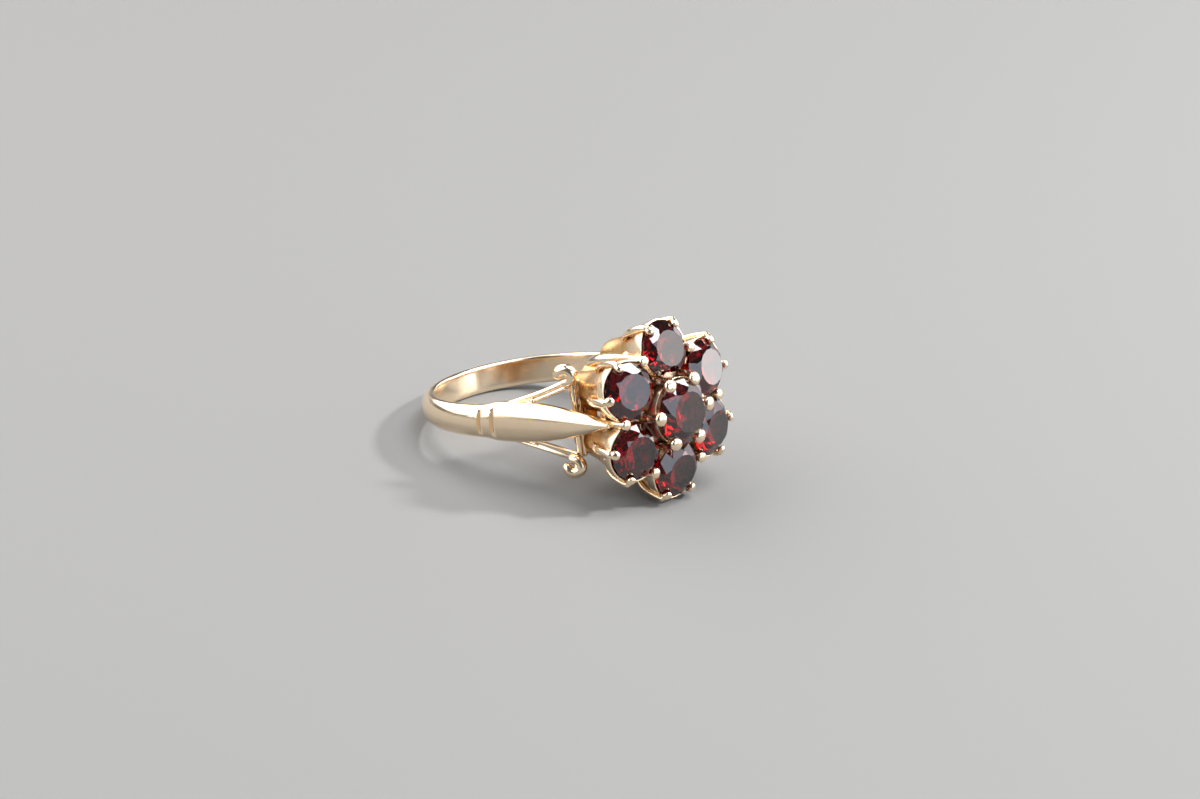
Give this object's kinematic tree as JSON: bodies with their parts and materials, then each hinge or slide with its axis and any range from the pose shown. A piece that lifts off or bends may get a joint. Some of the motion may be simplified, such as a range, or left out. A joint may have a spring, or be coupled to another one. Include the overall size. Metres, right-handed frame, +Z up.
{
  "type": "cluster ring",
  "caption": "Dress ring with a raised flower cluster of round red stones in claws, leaf shoulders, split side wires with scrolls, and an open fluted gallery on a tapered band.",
  "frame": {"origin": "middle of the bottom of the ring's bounding box, on the surface that the ring lies on", "axes": "+X from shoulder to shoulder, -Y towards the stones, +Z up as the ring lies on its side"},
  "size_m": [0.0194, 0.026, 0.0143],
  "materials": {
    "gold": "polished",
    "garnet": "polished"
  },
  "bodies": {
    "root": {"setting": "gold", "stone_centre": "garnet", "stone_1": "garnet", "stone_2": "garnet", "stone_3": "garnet", "stone_4": "garnet", "stone_5": "garnet", "stone_6": "garnet"}
  },
  "joints": []
}
